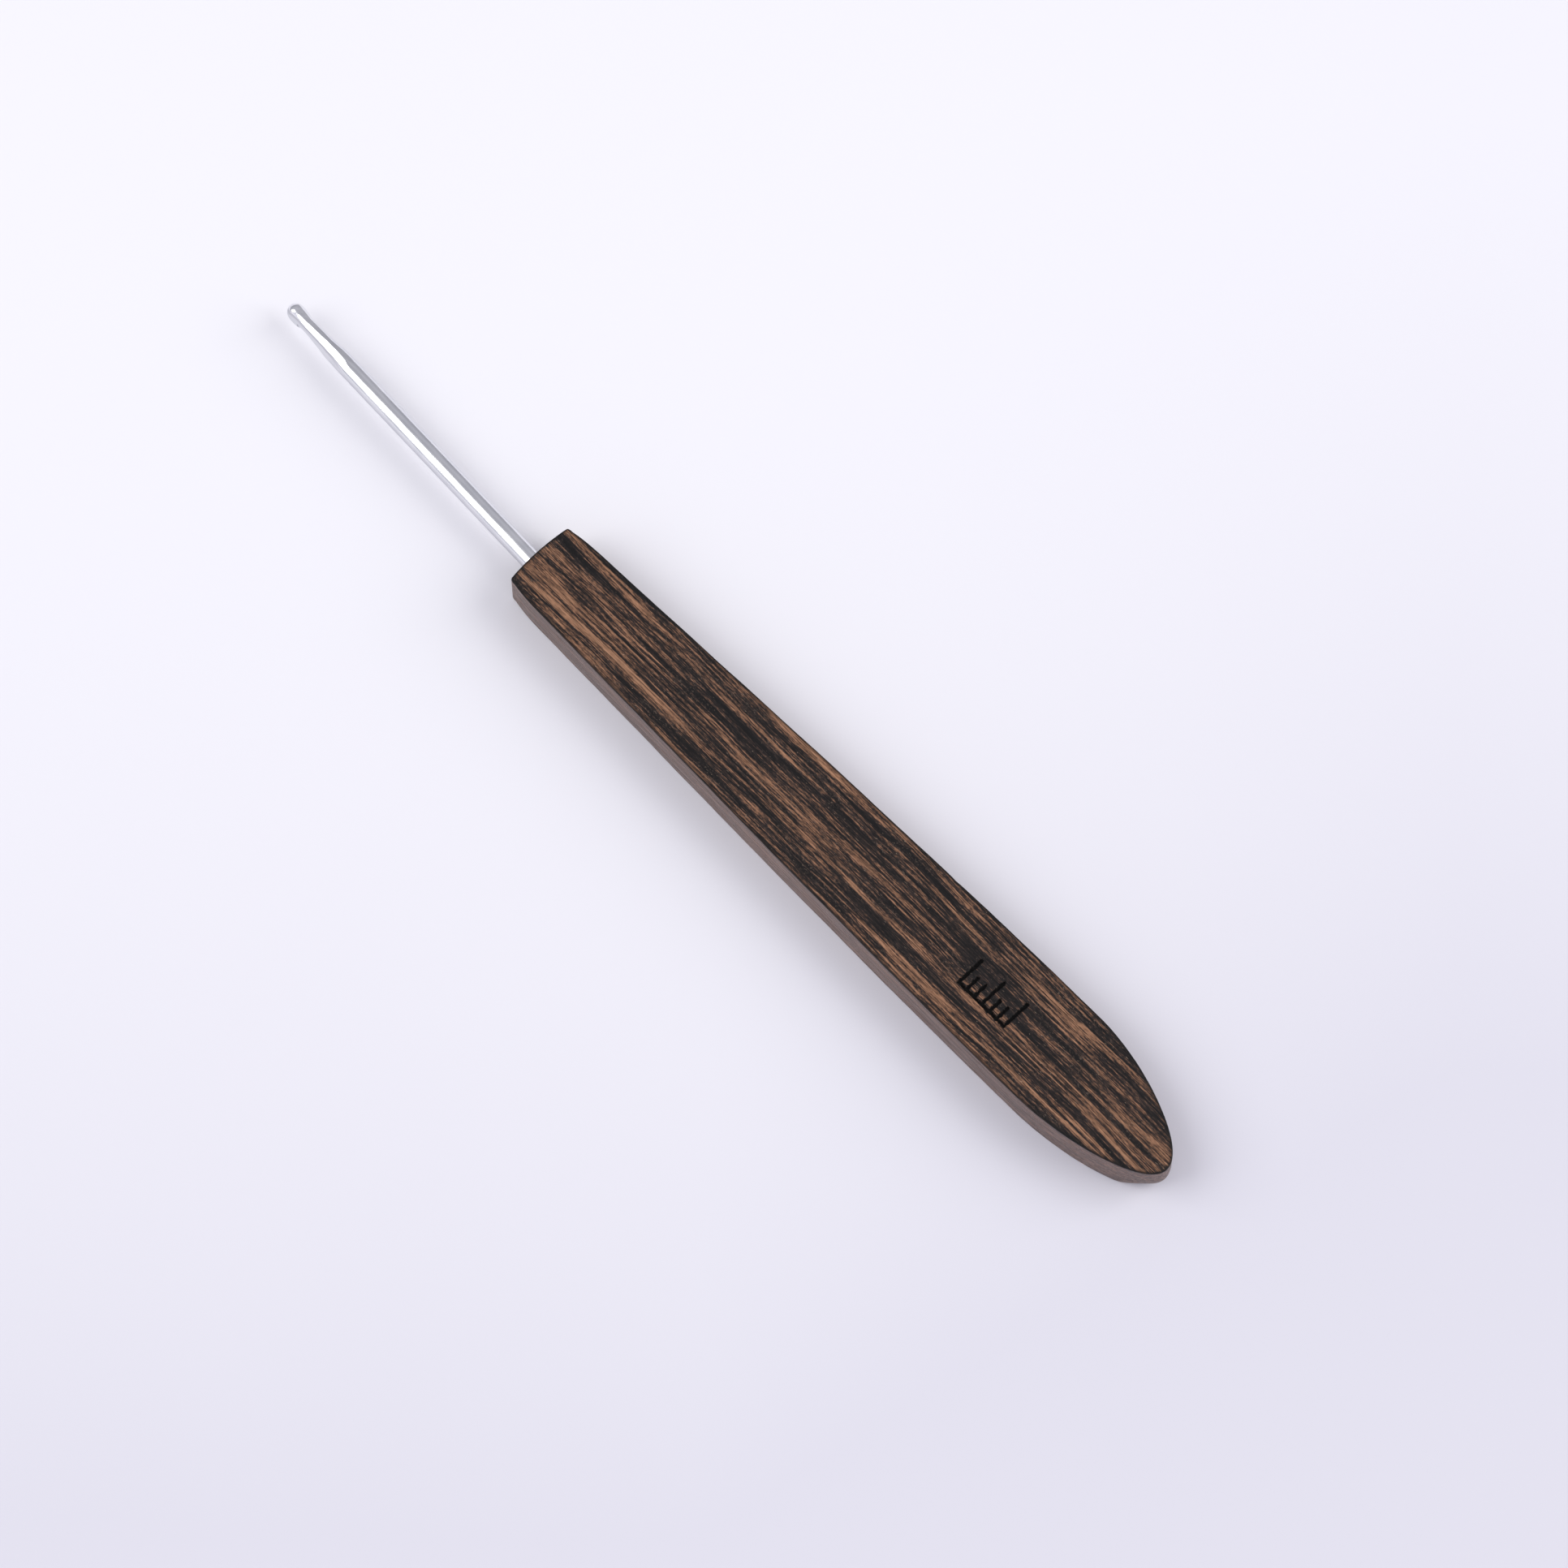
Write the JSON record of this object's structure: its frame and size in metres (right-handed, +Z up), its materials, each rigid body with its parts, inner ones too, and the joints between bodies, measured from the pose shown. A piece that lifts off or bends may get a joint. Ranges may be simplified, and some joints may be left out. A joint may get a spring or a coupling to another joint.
{
  "type": "crochet hook",
  "caption": "Slim metal crochet hook with a tapered throat, glued into a flat striped-wood handle that widens to a blunt pointed butt.",
  "frame": {"origin": "middle of the bounding box, on the flat underside of the handle", "axes": "+X from the hook's tip to the butt of the handle, +Z up out of the marked top face, the hook's mouth faces -Z, rolled 30 degrees round towards -Y"},
  "size_m": [0.1804, 0.0166, 0.0075],
  "materials": {
    "hook_metal": "bright satin drawn rod, forged and tumbled head",
    "handle_wood": "satin oiled wenge, near-black and brown streaks along the grain",
    "glue": "cured clear amber epoxy"
  },
  "bodies": {
    "root": {"hook_rod": "hook_metal", "handle": "handle_wood", "glue_sleeve": "glue"}
  },
  "joints": []
}
